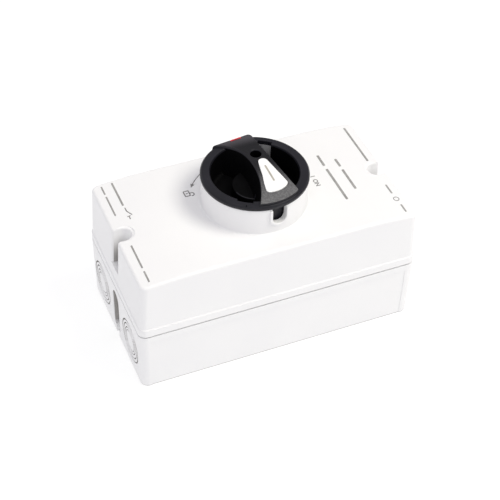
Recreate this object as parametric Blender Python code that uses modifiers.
"""Rotary isolator switch in a two-part surface-mount enclosure.

Frame: origin at the centre of the back face, +X along the enclosure towards its ON end,
+Y across it, +Z out of the wall through the handle. Sizes below are in millimetres, and
the helpers turn them into Blender's metres. Handle pieces are built in the handle's own
frame: its axis is Z, and the grip bar lies along its local Y.
"""

import math

import bmesh
import bpy

MM = 0.001
GAP = 0.3

# Enclosure
LENGTH = 160.0
WIDTH = 86.0
SEAM_Z = 39.2
LIP_TOP = 44.4
TOP_Z = 76.2
BASE_DRAFT = (0.4, 0.8)
LIP_STEP = 0.6
LID_DRAFT = (1.4, 0.15)
END_DROP = 2.2
FLAT_HALF = 44.0
CORNER_R = 4.5
TOP_EDGE_R = 1.8
WALL = 3.0

# End channels, lid screws and cable knockouts
NOTCH_HALF = 4.75
NOTCH_CENTRE_X = 73.5
LEDGE_Z = 51.5
CHANNEL_HALF = 4.8
CHANNEL_FLOOR = 6.5
CHANNEL_TOP = 33.5
CHANNEL_INNER_X = 71.0
WALL_SLOT_HALF = 2.4
KNOCKOUT_Y = 23.6
KNOCKOUT_Z = 18.8
KNOCKOUT_R = 13.0
KNOCKOUT_GROOVE = 0.7
SCREW_PASSAGE_R = 2.2
INSERT_HOLE_R = 3.3

# Handle, collar and padlock window
HANDLE_X = 0.6
REST_TURN = 7.0
RIM_R = 29.05
RIM_INNER_R = 23.5
RIM_TOP = 95.2
RIM_BOTTOM = 92.7
SKIRT_R = 25.0
SKIRT_BOTTOM = 77.8
BOWL_FLOOR = 79.8
BOSS_R = 12.0
BOSS_TOP = 86.0
BAR_TOP = 96.5
BAR_FLANK = 12.2
BAR_BACK = 27.2
BAR_FRONT_R = 27.8
SCOOP_PEAK = (1.5, 9.0)
SCOOP_BACK_CURVE = 0.0337
SCOOP_FRONT_CURVE = 0.0105
SCOOP_FLARE = 6.5
COLLAR_INNER_R = 26.0
COLLAR_TOP_R = 28.4
COLLAR_FOOT_R = 29.0
COLLAR_TOP = 92.2
WINDOW_ANGLE = -85.5
WINDOW_HALF = 4.0
WINDOW_LIP = 1.5
SHACKLE_GAPS = ((39.0, 57.0), (-141.0, -121.0))
STEM_R = 8.0
STEM_BOTTOM = 69.9
RING_GROOVE = (71.4, 72.9)
LABEL_PROUD = 0.3

# Switch stack on its rail
RAIL_Z = 6.3
RAIL_H = 7.5
RAIL_SCREW_X = 24.0
FOOT_Z = 14.1
HOOK_Z = 10.8
DECKS = 4
DECK_Z = 19.3
DECK_H = 9.4
DECK_PITCH = DECK_H + GAP
DECK_HALF = (28.0, 25.0)
ROTOR_R = 14.0
SHAFT_HALF = 3.5
SHAFT_TOP = 84.0
HEAD_Z = DECK_Z + DECKS * DECK_PITCH
HEAD_HALF = 24.0
HEAD_H = 8.2
PLATE_H = 1.2
BOLT_AT = 19.0
BOLT_HOLE_R = 2.0
CONTACT_Z = (5.5, 7.0)
BLADE_R = 13.8

COLOURS = {
    "white_shell": ((0.86, 0.86, 0.87), 0.45, 0.0),
    "black_handle": ((0.022, 0.022, 0.026), 0.42, 0.0),
    "white_label": ((0.9, 0.9, 0.9), 0.4, 0.0),
    "red_mark": ((0.55, 0.02, 0.04), 0.4, 0.0),
    "seal_rubber": ((0.03, 0.03, 0.03), 0.8, 0.0),
    "switch_body": ((0.10, 0.105, 0.11), 0.5, 0.0),
    "rotor_plastic": ((0.62, 0.55, 0.42), 0.5, 0.0),
    "zinc_steel": ((0.66, 0.67, 0.68), 0.3, 1.0),
    "spring_steel": ((0.55, 0.56, 0.57), 0.3, 1.0),
    "brass": ((0.78, 0.6, 0.28), 0.3, 1.0),
    "copper": ((0.8, 0.43, 0.28), 0.3, 1.0),
}

for old in list(bpy.data.objects):
    bpy.data.objects.remove(old, do_unlink=True)
PARTS = bpy.data.collections.new("rotary_isolator_switch")
CUTTERS = bpy.data.collections.new("cutters")
bpy.context.scene.collection.children.link(PARTS)
bpy.context.scene.collection.children.link(CUTTERS)


# ---------- helpers ----------


def new_object(name, mesh, parent=None):
    obj = bpy.data.objects.new(name, mesh)
    PARTS.objects.link(obj)
    obj.parent = parent
    return obj


def axis_empty(name, x, y, z, turn=0.0):
    """An empty on a joint's axis, which the moving pieces hang from."""
    empty = new_object(name, None)
    empty.location = (x * MM, y * MM, z * MM)
    empty.rotation_euler.z = math.radians(turn)
    return empty


def from_bmesh(name, bm, parent=None):
    bmesh.ops.recalc_face_normals(bm, faces=bm.faces)
    bmesh.ops.scale(bm, vec=(MM, MM, MM), verts=bm.verts)
    mesh = bpy.data.meshes.new(name)
    bm.to_mesh(mesh)
    bm.free()
    return new_object(name, mesh, parent)


def smooth(obj, angle=35.0):
    obj.data.shade_smooth()
    obj.data.set_sharp_from_angle(angle=math.radians(angle))
    return obj


def block(name, low, high, parent=None, bevel=0.0):
    """A box between two corners, with its edges rounded where bevel is given."""
    bm = bmesh.new()
    bmesh.ops.create_cube(bm, size=1.0)
    size = [b - a for a, b in zip(low, high)]
    middle = [(a + b) / 2 for a, b in zip(low, high)]
    bmesh.ops.scale(bm, vec=size, verts=bm.verts)
    bmesh.ops.translate(bm, vec=middle, verts=bm.verts)
    if bevel:
        bmesh.ops.bevel(bm, geom=bm.edges, offset=bevel, segments=1, affect="EDGES")
    return from_bmesh(name, bm, parent)


def along(bm, axis):
    """Lays a shape built along Z along X instead, where the axis says so."""
    if axis == "X":
        for vert in bm.verts:
            vert.co = (vert.co.z, vert.co.x, vert.co.y)


def rod(name, centre, radius, low, high, axis="Z", sides=16, parent=None):
    """A cylinder. centre is its place in the plane across the axis."""
    bm = bmesh.new()
    bmesh.ops.create_cone(
        bm,
        cap_ends=True,
        segments=sides,
        radius1=radius,
        radius2=radius,
        depth=high - low,
    )
    bmesh.ops.translate(bm, vec=(centre[0], centre[1], (low + high) / 2), verts=bm.verts)
    along(bm, axis)
    return smooth(from_bmesh(name, bm, parent))


def turned(name, profile, centre=(0.0, 0.0), axis="Z", sides=24, parent=None):
    """A turned solid from (radius, height) points that run down its outer side."""
    bm = bmesh.new()
    verts = [bm.verts.new((radius, 0.0, height)) for radius, height in profile]
    for start, end in zip(verts, verts[1:]):
        bm.edges.new((start, end))
    if profile[0][0] > 0.0:
        bm.edges.new((verts[-1], verts[0]))
    bmesh.ops.scale(bm, vec=(MM, MM, MM), verts=bm.verts)
    mesh = bpy.data.meshes.new(name)
    bm.to_mesh(mesh)
    bm.free()
    obj = new_object(name, mesh, parent)
    screw = obj.modifiers.new("turn", "SCREW")
    screw.axis = "Z"
    screw.steps = sides
    screw.render_steps = sides
    screw.use_merge_vertices = True
    screw.merge_threshold = 0.00001
    screw.use_normal_calculate = True
    return relaid(obj, axis, centre)


def evaluated_mesh(obj):
    graph = bpy.context.evaluated_depsgraph_get()
    graph.update()
    return bpy.data.meshes.new_from_object(obj.evaluated_get(graph))


def relaid(obj, axis, centre):
    """Fixes a modifier stack into the mesh, then lays it along its axis."""
    mesh = evaluated_mesh(obj)
    name, parent = obj.name, obj.parent
    bpy.data.objects.remove(obj, do_unlink=True)
    bm = bmesh.new()
    bm.from_mesh(mesh)
    bmesh.ops.remove_doubles(bm, verts=bm.verts, dist=0.000002)
    bmesh.ops.recalc_face_normals(bm, faces=bm.faces)
    bmesh.ops.translate(bm, vec=(centre[0] * MM, centre[1] * MM, 0.0), verts=bm.verts)
    along(bm, axis)
    bm.to_mesh(mesh)
    bm.free()
    return smooth(new_object(name, mesh, parent))


def prism(name, outline, low, high, axis="Z", parent=None):
    """A flat outline carried from low to high along an axis."""
    curve = bpy.data.curves.new(name, "CURVE")
    curve.dimensions = "2D"
    curve.fill_mode = "BOTH"
    curve.extrude = (high - low) / 2 * MM
    spline = curve.splines.new("POLY")
    spline.points.add(len(outline) - 1)
    for point, (x, y) in zip(spline.points, outline):
        point.co = (x * MM, y * MM, 0.0, 1.0)
    spline.use_cyclic_u = True
    sketch = new_object(name, curve)
    mesh = evaluated_mesh(sketch)
    bpy.data.objects.remove(sketch, do_unlink=True)
    bm = bmesh.new()
    bm.from_mesh(mesh)
    bmesh.ops.remove_doubles(bm, verts=bm.verts, dist=0.000002)
    bmesh.ops.recalc_face_normals(bm, faces=bm.faces)
    bmesh.ops.translate(bm, vec=(0.0, 0.0, (low + high) / 2 * MM), verts=bm.verts)
    along(bm, axis)
    bm.to_mesh(mesh)
    bm.free()
    return smooth(new_object(name, mesh, parent))


def arc(radius, start, end, steps, centre=(0.0, 0.0)):
    """Points on an arc, in degrees, both ends included."""
    points = []
    for step in range(steps + 1):
        angle = math.radians(start + (end - start) * step / steps)
        points.append((centre[0] + radius * math.cos(angle), centre[1] + radius * math.sin(angle)))
    return points


def combine(target, tool, operation):
    """Cuts the tool from the target, or joins it on, with a Boolean modifier."""
    for collection in list(tool.users_collection):
        collection.objects.unlink(tool)
    CUTTERS.objects.link(tool)
    tool.hide_render = True
    tool.display_type = "WIRE"
    modifier = target.modifiers.new(tool.name, "BOOLEAN")
    modifier.operation = operation
    modifier.object = tool
    return target


def cut(target, *tools):
    for tool in tools:
        combine(target, tool, "DIFFERENCE")
    return target


def join(target, *tools):
    for tool in tools:
        combine(target, tool, "UNION")
    return target


def paint(obj, slot):
    """Gives a piece its own Principled material."""
    colour, roughness, metallic = COLOURS[slot]
    material = bpy.data.materials.new(obj.name)
    material.use_nodes = True
    shader = material.node_tree.nodes["Principled BSDF"]
    shader.inputs["Base Color"].default_value = (*colour, 1.0)
    shader.inputs["Roughness"].default_value = roughness
    shader.inputs["Metallic"].default_value = metallic
    obj.data.materials.clear()
    obj.data.materials.append(material)
    return obj


def copies(source, slot, names, offsets, parent=None):
    """Fixes a piece's shape and lays out named copies of it."""
    mesh = evaluated_mesh(source)
    tools = [modifier.object for modifier in source.modifiers if modifier.type == "BOOLEAN"]
    for obj in tools + [source]:
        bpy.data.objects.remove(obj, do_unlink=True)
    made = []
    for name, offset in zip(names, offsets):
        obj = new_object(name, mesh.copy(), parent)
        obj.location = [value * MM for value in offset]
        made.append(paint(smooth(obj), slot))
    return made


def drafted_block(name, low_half, high_half, z0, z1, corner, bend=0.0, top_edge=0.0, foot_edge=0.0):
    """A box with rounded upright corners and drafted sides. With bend, its top is flat in
    the middle and falls away towards both ends."""
    bm = bmesh.new()
    bmesh.ops.create_cube(bm, size=2.0)
    for vert in bm.verts:
        half, z = (low_half, z0) if vert.co.z < 0 else (high_half, z1)
        vert.co = (vert.co.x * half[0], vert.co.y * half[1], z)
    upright = [edge for edge in bm.edges if abs(edge.verts[0].co.z - edge.verts[1].co.z) > 1.0]
    bmesh.ops.bevel(bm, geom=upright, offset=corner, segments=4, profile=0.5, affect="EDGES")
    if bend:
        for share in (0.0, 0.3, 0.6, 0.85):
            station = FLAT_HALF + (high_half[0] - FLAT_HALF) * share
            for side in (-1, 1):
                bmesh.ops.bisect_plane(
                    bm,
                    geom=bm.verts[:] + bm.edges[:] + bm.faces[:],
                    plane_co=(side * station, 0.0, 0.0),
                    plane_no=(1.0, 0.0, 0.0),
                )
        for vert in bm.verts:
            if vert.co.z > (z0 + z1) / 2:
                reach = (abs(vert.co.x) - FLAT_HALF) / (high_half[0] - FLAT_HALF)
                vert.co.z -= bend * max(0.0, reach) ** 2
    for width, at_top in ((top_edge, True), (foot_edge, False)):
        if not width:
            continue
        middle = (z0 + z1) / 2
        rim = []
        for edge in bm.edges:
            above = all((vert.co.z > middle) == at_top for vert in edge.verts)
            steep = [abs(face.normal.z) < 0.5 for face in edge.link_faces]
            if above and any(steep) and not all(steep):
                rim.append(edge)
        bmesh.ops.bevel(bm, geom=rim, offset=width, segments=2, profile=0.5, affect="EDGES")
    if bend:
        bmesh.ops.triangulate(bm, faces=bm.faces)
    return smooth(from_bmesh(name, bm), 30.0)


def shrunk(half, amount):
    return (half[0] - amount, half[1] - amount)


# ---------- enclosure ----------

SEAM_HALF = (LENGTH / 2, WIDTH / 2)
FOOT_HALF = (SEAM_HALF[0] - BASE_DRAFT[0], SEAM_HALF[1] - BASE_DRAFT[1])
BASE_TOP = SEAM_Z - GAP / 2
LID_BOTTOM = SEAM_Z + GAP / 2


def seal_ring(name, outer_inset, inner_inset, z0, z1):
    """A flat ring that follows the seam."""
    outer = shrunk(SEAM_HALF, outer_inset)
    inner = shrunk(SEAM_HALF, inner_inset)
    ring = drafted_block(name, outer, outer, z0, z1, CORNER_R - outer_inset)
    hole = drafted_block(name + "_hole", inner, inner, z0 - 1, z1 + 1, CORNER_R - inner_inset)
    return cut(ring, hole)


def base_shell():
    base = drafted_block("base_shell", FOOT_HALF, SEAM_HALF, 0.0, BASE_TOP, CORNER_R, foot_edge=0.7)
    hollow = drafted_block(
        "base_hollow", shrunk(FOOT_HALF, WALL), shrunk(SEAM_HALF, WALL), WALL, SEAM_Z + 2, 2.0
    )
    cut(base, hollow)
    for side in (-1, 1):
        end = "on" if side > 0 else "off"
        outer_x, inner_x = side * 78.0, side * (CHANNEL_INNER_X - WALL)
        pillar = block(
            "base_pillar_" + end,
            (min(outer_x, inner_x), -CHANNEL_HALF - WALL, 2.0),
            (max(outer_x, inner_x), CHANNEL_HALF + WALL, BASE_TOP),
        )
        join(base, pillar)
        # Upright channel for the wall screw, with a round head and a slotted shelf.
        head = CHANNEL_TOP - CHANNEL_HALF
        outline = [(CHANNEL_HALF, CHANNEL_FLOOR)] + arc(CHANNEL_HALF, 0, 180, 6, (0.0, head))
        outline.append((-CHANNEL_HALF, CHANNEL_FLOOR))
        near, far = sorted((side * CHANNEL_INNER_X, side * (LENGTH / 2 + 3)))
        cut(base, prism("base_channel_" + end, outline, near, far, "X"))
        slot_x = side * (CHANNEL_INNER_X + WALL_SLOT_HALF + 1.4)
        cut(base, rod("wall_slot_round_" + end, (slot_x, 0.0), WALL_SLOT_HALF, -2.0, 8.0, sides=12))
        near, far = sorted((slot_x, side * (LENGTH / 2 + 3)))
        cut(base, block("wall_slot_" + end, (near, -WALL_SLOT_HALF, -2.0), (far, WALL_SLOT_HALF, 8.0)))
        centre = (side * NOTCH_CENTRE_X, 0.0)
        cut(base, rod("insert_hole_" + end, centre, INSERT_HOLE_R, 34.6, SEAM_Z + 2))
        for hand in (-1, 1):
            cut(base, knockout_groove(side, hand))
        centre = (side * RAIL_SCREW_X, 0.0)
        join(base, rod("rail_boss_" + end, centre, 4.0, 2.5, RAIL_Z - GAP, sides=12))
        cut(base, rod("rail_boss_hole_" + end, centre, 1.8, 3.2, 8.0, sides=12))
    cut(base, seal_ring_cutter())
    return paint(base, "white_shell")


def knockout_groove(side, hand):
    """The round groove of a cable knockout in an end wall."""
    inner, outer = KNOCKOUT_R - KNOCKOUT_GROOVE, KNOCKOUT_R
    profile = [(inner, 4.0), (outer, 4.0), (outer, -4.0), (inner, -4.0)]
    ring = turned("knockout_groove_%d_%d" % (side, hand), profile, sides=24)
    for vert in ring.data.vertices:
        across, up, out = vert.co
        depth = SEAM_HALF[0] - KNOCKOUT_GROOVE if out < 0 else SEAM_HALF[0] + 1.0
        vert.co = (side * depth * MM, hand * KNOCKOUT_Y * MM + side * across, KNOCKOUT_Z * MM + up)
    return ring


def seal_ring_cutter():
    """The seal's groove, as one closed ring whose own hole is fixed in its mesh."""
    ring = seal_ring("seam_groove", 0.8, 2.3, 37.2, SEAM_Z + 2)
    mesh = evaluated_mesh(ring)
    hole = ring.modifiers[0].object
    for obj in (ring, hole):
        bpy.data.objects.remove(obj, do_unlink=True)
    return new_object("seam_groove", mesh)


def lid_shell(parent):
    wall_half = shrunk(SEAM_HALF, LIP_STEP)
    top_half = (wall_half[0] - LID_DRAFT[0], wall_half[1] - LID_DRAFT[1])
    lid = drafted_block("lid_shell", SEAM_HALF, SEAM_HALF, LID_BOTTOM, LIP_TOP, CORNER_R, top_edge=0.6)
    body = drafted_block(
        "lid_body", wall_half, top_half, 40.5, TOP_Z, CORNER_R - 0.6, END_DROP, TOP_EDGE_R
    )
    hollow = drafted_block(
        "lid_hollow", shrunk(wall_half, WALL), shrunk(top_half, WALL), 37.0, TOP_Z - WALL, 2.0, END_DROP
    )
    join(lid, body)
    cut(lid, hollow)
    for side in (-1, 1):
        end = "on" if side > 0 else "off"
        inner_x = side * (NOTCH_CENTRE_X - NOTCH_HALF - WALL)
        near, far = sorted((inner_x, side * 77.6))
        join(lid, block("lid_pillar_" + end, (near, -7.7, LID_BOTTOM), (far, 7.7, 73.2)))
        outline = arc(NOTCH_HALF, 90, 270, 8, (NOTCH_CENTRE_X, 0.0))
        outline += [(LENGTH / 2 + 4, -NOTCH_HALF), (LENGTH / 2 + 4, NOTCH_HALF)]
        outline = [(side * x, y) for x, y in outline]
        cut(lid, prism("lid_notch_" + end, outline, LEDGE_Z, TOP_Z + 4))
        centre = (side * NOTCH_CENTRE_X, 0.0)
        cut(lid, rod("lid_screw_hole_" + end, centre, SCREW_PASSAGE_R, 36.0, 60.0, sides=12))
    centre = (HANDLE_X, 0.0)
    collar = turned(
        "collar",
        [
            (COLLAR_TOP_R - 0.5, COLLAR_TOP),
            (COLLAR_TOP_R, COLLAR_TOP - 0.5),
            (COLLAR_FOOT_R - 0.2, TOP_Z + 1.2),
            (COLLAR_FOOT_R + 0.8, TOP_Z - 0.2),
            (COLLAR_FOOT_R + 0.8, TOP_Z - 1.0),
            (COLLAR_INNER_R - 1.0, TOP_Z - 1.0),
            (COLLAR_INNER_R - 1.0, COLLAR_TOP),
        ],
        centre,
        sides=48,
    )
    join(lid, collar)
    angle = math.radians(WINDOW_ANGLE)
    lip_half = WINDOW_HALF + WINDOW_LIP
    window_floor = TOP_Z + 5.8
    lip_outline = u_outline(lip_half, window_floor - WINDOW_LIP, COLLAR_TOP - 1.0)
    window_outline = u_outline(WINDOW_HALF, window_floor, COLLAR_TOP + 3.0)
    for name, outline, near, far, action in (
        ("window_lip", lip_outline, COLLAR_INNER_R - 0.5, COLLAR_TOP_R + 0.7, join),
        ("padlock_window", window_outline, COLLAR_INNER_R - 3.0, COLLAR_TOP_R + 4.0, cut),
    ):
        tool = prism(name, outline, near, far, "X")
        tool.rotation_euler.z = angle
        tool.location = (HANDLE_X * MM, 0.0, 0.0)
        if name == "padlock_window":
            cut(lid, rod("collar_bore", centre, COLLAR_INNER_R, TOP_Z - 0.3, COLLAR_TOP + 3, sides=48))
        action(lid, tool)
    cut(lid, rod("stem_bore", centre, STEM_R + 0.4, 60.0, TOP_Z + 3, sides=32))
    lid.parent = parent
    return paint(lid, "white_shell")


def u_outline(half, low, high):
    """A U with a half-round foot, in the plane of a wall: (across, up)."""
    return [(half, high)] + [(-half, high)] + arc(half, 180, 360, 8, (0.0, low + half))


def fasteners_and_seals(lid_axis):
    seal = seal_ring("lid_gasket", 1.1, 2.0, 37.5, BASE_TOP)
    paint(seal, "seal_rubber")
    for side in (-1, 1):
        end = "on" if side > 0 else "off"
        centre = (side * NOTCH_CENTRE_X, 0.0)
        screw = turned(
            "lid_screw_" + end,
            [(0, 54.6), (2.8, 54.6), (3.4, 54.0), (3.4, LEDGE_Z + GAP), (1.75, LEDGE_Z + GAP)]
            + [(1.75, 35.8), (1.2, 35.2), (0, 35.2)],
            centre,
            sides=16,
            parent=lid_axis,
        )
        for name, low, high in (("x", (-2.4, -0.4), (2.4, 0.4)), ("y", (-0.4, -2.4), (0.4, 2.4))):
            tool = block(
                "lid_drive_%s_%s" % (name, end),
                (centre[0] + low[0], low[1], 53.2),
                (centre[0] + high[0], high[1], 56.0),
                parent=lid_axis,
            )
            cut(screw, tool)
        paint(screw, "zinc_steel")
        insert = turned(
            "thread_insert_" + end,
            [(2.1, 38.7), (3.0, 38.7), (3.0, 34.9), (2.1, 34.9)],
            centre,
            sides=16,
        )
        paint(insert, "brass")


# ---------- switch stack ----------


def rail_and_foot(clip_axis):
    half, flange, thick = 12.5, 17.5, 1.0
    top = RAIL_Z + RAIL_H
    outline = [
        (-flange, top - thick),
        (-half, top - thick),
        (-half, RAIL_Z),
        (half, RAIL_Z),
        (half, top - thick),
        (flange, top - thick),
        (flange, top),
        (half - thick, top),
        (half - thick, RAIL_Z + thick),
        (-half + thick, RAIL_Z + thick),
        (-half + thick, top),
        (-flange, top),
    ]
    rail = prism("din_rail", outline, -30.0, 30.0, "X")
    for side in (-1, 1):
        end = "on" if side > 0 else "off"
        centre = (side * RAIL_SCREW_X, 0.0)
        cut(rail, rod("rail_hole_" + end, centre, 1.9, 4.0, 9.0, sides=12))
        head = RAIL_Z + thick + GAP
        profile = [(0, head + 2), (2.2, head + 2), (3.0, head + 1.2), (3.0, head)]
        profile += [(1.4, head), (1.4, 3.5), (0, 3.5)]
        screw = turned("rail_screw_" + end, profile, centre, sides=12)
        low, high = (centre[0] - 4, -0.4, head + 1.1), (centre[0] + 4, 0.4, head + 3)
        cut(screw, block("rail_slot_" + end, low, high))
        paint(screw, "zinc_steel")
    paint(rail, "zinc_steel")

    long_half, wide_half = DECK_HALF
    low, high = (-long_half, -wide_half, FOOT_Z), (long_half, wide_half, DECK_Z - GAP)
    foot = block("switch_foot", low, high, bevel=0.5)
    join(foot, block("foot_hook_riser", (-9, -20.2, HOOK_Z), (9, -17.9, FOOT_Z + 1)))
    join(foot, block("foot_hook_toe", (-9, -20.2, HOOK_Z), (9, -15.0, HOOK_Z + 1.6)))
    cut(foot, block("clip_slot", (-5.3, 1.5, FOOT_Z - 2), (5.3, 27, FOOT_Z + 2.3)))
    for sign in (-1, 1):
        spot = (HANDLE_X + sign * BOLT_AT, sign * BOLT_AT)
        cut(foot, rod("foot_bolt_hole_%d" % sign, spot, BOLT_HOLE_R, 10, 22, sides=12))
    paint(foot, "switch_body")

    clip = block("rail_clip", (-5, 9.5, FOOT_Z), (5, 29.0, FOOT_Z + 2), parent=clip_axis)
    join(clip, block("clip_riser", (-5, 17.9, HOOK_Z), (5, 20.2, FOOT_Z + 1), parent=clip_axis))
    join(clip, block("clip_toe", (-5, 15.0, HOOK_Z), (5, 19, HOOK_Z + 1.6), parent=clip_axis))
    cut(clip, block("clip_eye", (-2.5, 26.0, 13), (2.5, 27.6, 18), parent=clip_axis))
    paint(clip, "switch_body")
    clip_spring()


def clip_spring():
    """A small compression spring along Y, behind the rail clip."""
    steps, turns, radius, wire = 8, 4, 0.75, 0.28
    y0, y1, z = 1.8, 9.2, FOOT_Z + 1.0
    points = []
    for index in range(turns * steps + 1):
        angle = math.tau * index / steps
        run = y0 + wire + (y1 - y0 - 2 * wire) * index / (turns * steps)
        points.append((radius * math.cos(angle), run, z + radius * math.sin(angle)))
    return wire_piece("clip_spring", points, wire)


def wire_piece(name, points, wire):
    """Round wire through points, as one closed mesh."""
    curve = bpy.data.curves.new(name, "CURVE")
    curve.dimensions = "3D"
    curve.bevel_depth = wire * MM
    curve.bevel_resolution = 1
    curve.use_fill_caps = True
    spline = curve.splines.new("POLY")
    spline.points.add(len(points) - 1)
    for point, place in zip(spline.points, points):
        point.co = [value * MM for value in place] + [1.0]
    sketch = new_object(name, curve)
    mesh = evaluated_mesh(sketch)
    bpy.data.objects.remove(sketch, do_unlink=True)
    bm = bmesh.new()
    bm.from_mesh(mesh)
    bmesh.ops.remove_doubles(bm, verts=bm.verts, dist=0.000002)
    bmesh.ops.recalc_face_normals(bm, faces=bm.faces)
    bm.to_mesh(mesh)
    bm.free()
    return paint(smooth(new_object(name, mesh), 60.0), "spring_steel")


def pole_decks():
    long_half, wide_half = DECK_HALF
    deck = block("deck_master", (-long_half, -wide_half, 0), (long_half, wide_half, DECK_H), bevel=0.6)
    cut(deck, rod("deck_bore", (0, 0), ROTOR_R + GAP, -2, DECK_H + 2, sides=32))
    for side in (-1, 1):
        for name, near, far, half, low, high in (
            ("contact_slot", 13.0, 21.5, 4.4, 5.2, 7.3),
            ("terminal_pocket", 20.7, 31.0, 5.2, 0.9, 8.5),
        ):
            x0, x1 = sorted((side * near, side * far))
            cut(deck, block("%s_%d" % (name, side), (x0, -half, low), (x1, half, high)))
        spot = (side * BOLT_AT, side * BOLT_AT)
        cut(deck, rod("deck_bolt_hole_%d" % side, spot, BOLT_HOLE_R, -2, 14, sides=12))
    levels = [DECK_Z + DECK_PITCH * index for index in range(DECKS)]
    names = ["pole_deck_%d" % (index + 1) for index in range(DECKS)]
    copies(deck, "switch_body", names, [(HANDLE_X, 0, level) for level in levels])

    for side, end in ((-1, "off"), (1, "on")):
        x0, x1 = sorted((side * 14.8, side * 22.0))
        contact = block("contact_master", (x0, -4.0, CONTACT_Z[0]), (x1, 4.0, CONTACT_Z[1]))
        x0, x1 = sorted((side * 21.0, side * 26.0))
        join(contact, block("cage", (x0, -4.8, 1.3), (x1, 4.8, 8.1), bevel=0.3))
        x0, x1 = sorted((side * 21.8, side * 29.0))
        cut(contact, rod("cage_bore", (0, 4.6), 2.0, x0, x1, "X", sides=12))
        cut(contact, block("wire_mouth", (side * 24 - 1.2, -6, 2.4), (side * 24 + 1.2, 6, 6.8)))
        names = ["fixed_contact_%s_%d" % (end, index + 1) for index in range(DECKS)]
        copies(contact, "copper", names, [(HANDLE_X, 0, level) for level in levels])
        profile = [(0, 28.0), (2.2, 28.0), (2.7, 27.6), (2.7, 26.4)]
        profile += [(1.6, 26.4), (1.6, 22.4), (0, 22.4)]
        screw = turned("screw_master", profile, (0, 4.6), "X", sides=12)
        cut(screw, block("terminal_drive", (27.2, -3.4, 4.2), (29, 3.4, 5.0)))
        if side < 0:
            for obj in (screw, screw.modifiers[0].object):
                for vert in obj.data.vertices:
                    vert.co.x, vert.co.y = -vert.co.x, -vert.co.y
        names = ["terminal_screw_%s_%d" % (end, index + 1) for index in range(DECKS)]
        copies(screw, "zinc_steel", names, [(HANDLE_X, 0, level) for level in levels])


def shaft_and_rotors(shaft_axis):
    half = SHAFT_HALF
    low, high = (-half, -half, FOOT_Z + 5.5), (half, half, SHAFT_TOP)
    paint(block("drive_shaft", low, high, shaft_axis, bevel=0.5), "zinc_steel")
    hole = half + GAP
    rotor = rod("rotor_master", (0, 0), ROTOR_R, 0.5, 5.2, sides=32)
    cut(rotor, block("rotor_hole", (-hole, -hole, -2), (hole, hole, 12)))
    levels = [(0, 0, DECK_Z + DECK_PITCH * index) for index in range(DECKS)]
    names = ["contact_rotor_%d" % (index + 1) for index in range(DECKS)]
    copies(rotor, "rotor_plastic", names, levels, shaft_axis)
    # The blade lies along local Y at rest, a quarter turn from the fixed contacts.
    spread = math.degrees(math.asin(4.4 / BLADE_R))
    outline = arc(BLADE_R, 90 - spread, 90 + spread, 4)
    outline += arc(BLADE_R, 270 - spread, 270 + spread, 4)
    blade = prism("blade_master", outline, *CONTACT_Z)
    cut(blade, block("blade_hole", (-hole, -hole, 2), (hole, hole, 12)))
    names = ["moving_blade_%d" % (index + 1) for index in range(DECKS)]
    copies(blade, "copper", names, levels, shaft_axis)

    floor = HEAD_Z + 2.0
    top = floor + 4.0
    profile = [(9.0, top), (9.6, top - 0.6), (9.6, floor), (5.5, floor), (5.5, top)]
    cam = turned("snap_cam", profile, sides=24, parent=shaft_axis)
    join(cam, rod("cam_core", (0, 0), 6.5, floor, top, sides=24, parent=shaft_axis))
    low, high = floor - 2.0, top + 2.0
    for turn in range(4):
        angle = math.radians(45 + 90 * turn)
        spot = (10.6 * math.cos(angle), 10.6 * math.sin(angle))
        cut(cam, rod("cam_notch_%d" % turn, spot, 2.4, low, high, sides=12, parent=shaft_axis))
    cut(cam, block("cam_hole", (-hole, -hole, low), (hole, hole, high), parent=shaft_axis))
    paint(cam, "rotor_plastic")


def switch_head():
    x, half = HANDLE_X, HEAD_HALF
    low, high = (x - half, -half, HEAD_Z), (x + half, half, HEAD_Z + HEAD_H)
    head = block("head_housing", low, high, bevel=0.8)
    cut(head, rod("head_cavity", (x, 0), 16.5, HEAD_Z + 1.7, HEAD_Z + HEAD_H + 2, sides=32))
    cut(head, rod("head_bore", (x, 0), 5.4, HEAD_Z - 2, HEAD_Z + 4, sides=24))
    plate_z = HEAD_Z + HEAD_H + GAP
    plate = block("head_plate", (x - half, -half, plate_z), (x + half, half, plate_z + PLATE_H))
    cut(plate, rod("plate_bore", (x, 0), 5.4, plate_z - 2, plate_z + 4, sides=24))
    head_top = plate_z + PLATE_H + GAP
    for sign, name in ((-1, "front"), (1, "back")):
        spot = (x + sign * BOLT_AT, sign * BOLT_AT)
        for target in (head, plate):
            hole_name = target.name + "_hole_" + name
            cut(target, rod(hole_name, spot, BOLT_HOLE_R, HEAD_Z - 3, plate_z + 5, sides=12))
        profile = [(0, head_top + 1.8), (2.6, head_top + 1.8), (3.2, head_top + 1.2), (3.2, head_top)]
        profile += [(1.6, head_top), (1.6, FOOT_Z + 1), (0, FOOT_Z + 1)]
        bolt = turned("tie_bolt_" + name, profile, spot, sides=12)
        slot = block(
            "bolt_slot_" + name,
            (spot[0] - 4, spot[1] - 0.4, head_top + 1.0),
            (spot[0] + 4, spot[1] + 0.4, head_top + 3),
        )
        paint(cut(bolt, slot), "zinc_steel")
    paint(head, "switch_body")
    paint(plate, "zinc_steel")
    snap_spring()


def snap_spring():
    """A flat coil between the cam and the wall of the head."""
    steps, count, inner, outer, wire = 16, 40, 10.8, 15.2, 0.5
    points = []
    for index in range(count + 1):
        angle = math.tau * index / steps
        radius = inner + (outer - inner) * index / count
        points.append((HANDLE_X + radius * math.cos(angle), radius * math.sin(angle), HEAD_Z + 4.0))
    return wire_piece("snap_spring", points, wire)


# ---------- handle ----------


def scoop_edge(v):
    """How far across the grip bar's curved flank stands at a place along the bar."""
    peak_u, peak_v = SCOOP_PEAK
    curve = SCOOP_BACK_CURVE if v > peak_v else SCOOP_FRONT_CURVE
    return peak_u - curve * (v - peak_v) ** 2


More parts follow.
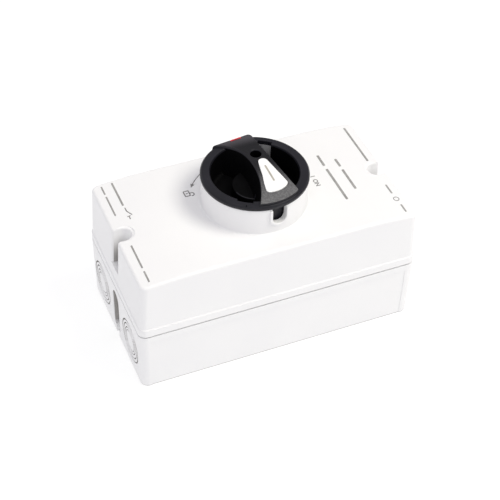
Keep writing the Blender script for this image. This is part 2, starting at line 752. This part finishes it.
def grip_bar(axis):
    """The bar across the handle: one straight flank, one scooped one."""
    front_right = math.degrees(math.asin(BAR_FLANK / BAR_FRONT_R)) - 90
    front_left = -114.0
    outline = arc(BAR_FRONT_R, front_right, front_left, 10)
    outline += [(-11.5, BAR_BACK), (10.3, BAR_BACK), (BAR_FLANK, BAR_BACK - 2.4)]
    bar = prism("grip_bar", outline, RIM_TOP - 1.6, BAR_TOP, parent=axis)
    inner_r = RIM_INNER_R + 0.9
    right = math.degrees(math.acos(BAR_FLANK / inner_r))
    lower = arc(inner_r, -right, -117, 6) + arc(inner_r, 119, right, 8)
    join(bar, prism("grip_root", lower, BOWL_FLOOR - 1, RIM_TOP - 0.8, parent=axis))
    stations = [32.0 - 64.0 * step / 16 for step in range(17)]
    flank = [(scoop_edge(v), v) for v in stations]
    scoop = prism("scoop", flank + [(-45, -32), (-45, 32)], BOWL_FLOOR - 3, BAR_TOP + 1, parent=axis)
    middle = (BOWL_FLOOR + BAR_TOP) / 2 * MM
    for vert in scoop.data.vertices:
        if vert.co.z < middle:
            vert.co.x -= SCOOP_FLARE * MM
    cut(bar, scoop)
    return bar


def label_outline(inset):
    """The fan-shaped plate's edge, counter-clockwise from its bowed foot."""
    foot = arc(12.0 - inset, -103, -58.5, 5, (2.2, -8.5))
    corner = arc(2.3 - inset, -52, 0, 3, (7.8, -16.3))
    nose = arc(2.6 - inset, 0, 160, 6, (6.75, 3.2))
    left = [(u + inset, v) for u, v in ((3.4, 1.5), (2.3, -2.0), (0.9, -6.4), (-1.55, -12.5))]
    heel = arc(2.2 - inset, 165, 250, 3, (-1.0, -17.9))
    return foot + corner + nose + left + heel


def handle(axis):
    knob = turned(
        "knob",
        [
            (0, BOSS_TOP),
            (BOSS_R - 0.6, BOSS_TOP),
            (BOSS_R, BOSS_TOP - 0.6),
            (BOSS_R, BOWL_FLOOR),
            (RIM_INNER_R, BOWL_FLOOR),
            (RIM_INNER_R, RIM_TOP - 0.9),
            (RIM_INNER_R + 0.6, RIM_TOP),
            (RIM_R - 0.7, RIM_TOP),
            (RIM_R, RIM_TOP - 0.7),
            (RIM_R, RIM_BOTTOM),
            (SKIRT_R, RIM_BOTTOM),
            (SKIRT_R, SKIRT_BOTTOM),
            (STEM_R, SKIRT_BOTTOM),
            (STEM_R, RING_GROOVE[1]),
            (STEM_R - 1.1, RING_GROOVE[1]),
            (STEM_R - 1.1, RING_GROOVE[0]),
            (STEM_R, RING_GROOVE[0]),
            (STEM_R, STEM_BOTTOM),
            (0, STEM_BOTTOM),
        ],
        sides=64,
        parent=axis,
    )
    bar = grip_bar(axis)
    bar_mesh = evaluated_mesh(bar)
    tools = [modifier.object for modifier in bar.modifiers]
    for obj in tools + [bar]:
        bpy.data.objects.remove(obj, do_unlink=True)
    join(knob, new_object("grip_bar", bar_mesh, axis))
    for index, (start, end) in enumerate(SHACKLE_GAPS):
        outline = arc(25.4, start, end, 4) + arc(21.5, end, start, 4)
        cut(knob, prism("shackle_gap_%d" % index, outline, BOWL_FLOOR + 0.8, RIM_TOP + 2, parent=axis))
    cut(knob, prism("label_recess", label_outline(-GAP), BAR_TOP - 0.9, BAR_TOP + 2, parent=axis))
    cut(knob, block("pointer_recess", (-0.4, BAR_BACK - 1.4, 93.4), (6.7, BAR_BACK + 2, 99), axis))
    cut(knob, rod("grip_hole", (6.6, 10.8), 3.1, 87.5, 99, sides=20, parent=axis))
    socket = SHAFT_HALF + GAP
    cut(knob, block("shaft_socket", (-socket, -socket, 60), (socket, socket, SHAFT_TOP + GAP), axis))
    paint(knob, "black_handle")

    plate_z = (BAR_TOP - 0.6, BAR_TOP + LABEL_PROUD)
    paint(prism("label_plate", label_outline(0.0), *plate_z, parent=axis), "white_label")
    low, high = (-0.1, BAR_BACK - 1.1, 93.7), (6.4, BAR_BACK, BAR_TOP)
    paint(block("pointer_insert", low, high, axis, bevel=0.2), "red_mark")
    low, high = RING_GROOVE[0] + GAP, RING_GROOVE[1] - GAP
    clip_profile = [(7.2, high), (10.5, high), (10.5, low), (7.2, low)]
    clip = turned("retaining_ring", clip_profile, sides=24, parent=axis)
    cut(clip, block("ring_mouth", (6.0, -1.6, 70), (12, 1.6, 74), axis))
    paint(clip, "spring_steel")
    seal_profile = [(10.0, 77.5), (12.4, 77.5), (12.4, 76.5), (10.0, 76.5)]
    paint(turned("stem_seal", seal_profile, sides=32, parent=axis), "seal_rubber")


def main():
    lid_axis = axis_empty("lid_axis", 0, 0, 0)
    handle_axis = axis_empty("handle_axis", HANDLE_X, 0, 0, REST_TURN)
    shaft_axis = axis_empty("shaft_axis", HANDLE_X, 0, 0, REST_TURN)
    clip_axis = axis_empty("clip_axis", 0, 0, 0)
    base_shell()
    lid_shell(lid_axis)
    fasteners_and_seals(lid_axis)
    rail_and_foot(clip_axis)
    pole_decks()
    switch_head()
    shaft_and_rotors(shaft_axis)
    handle(handle_axis)


main()
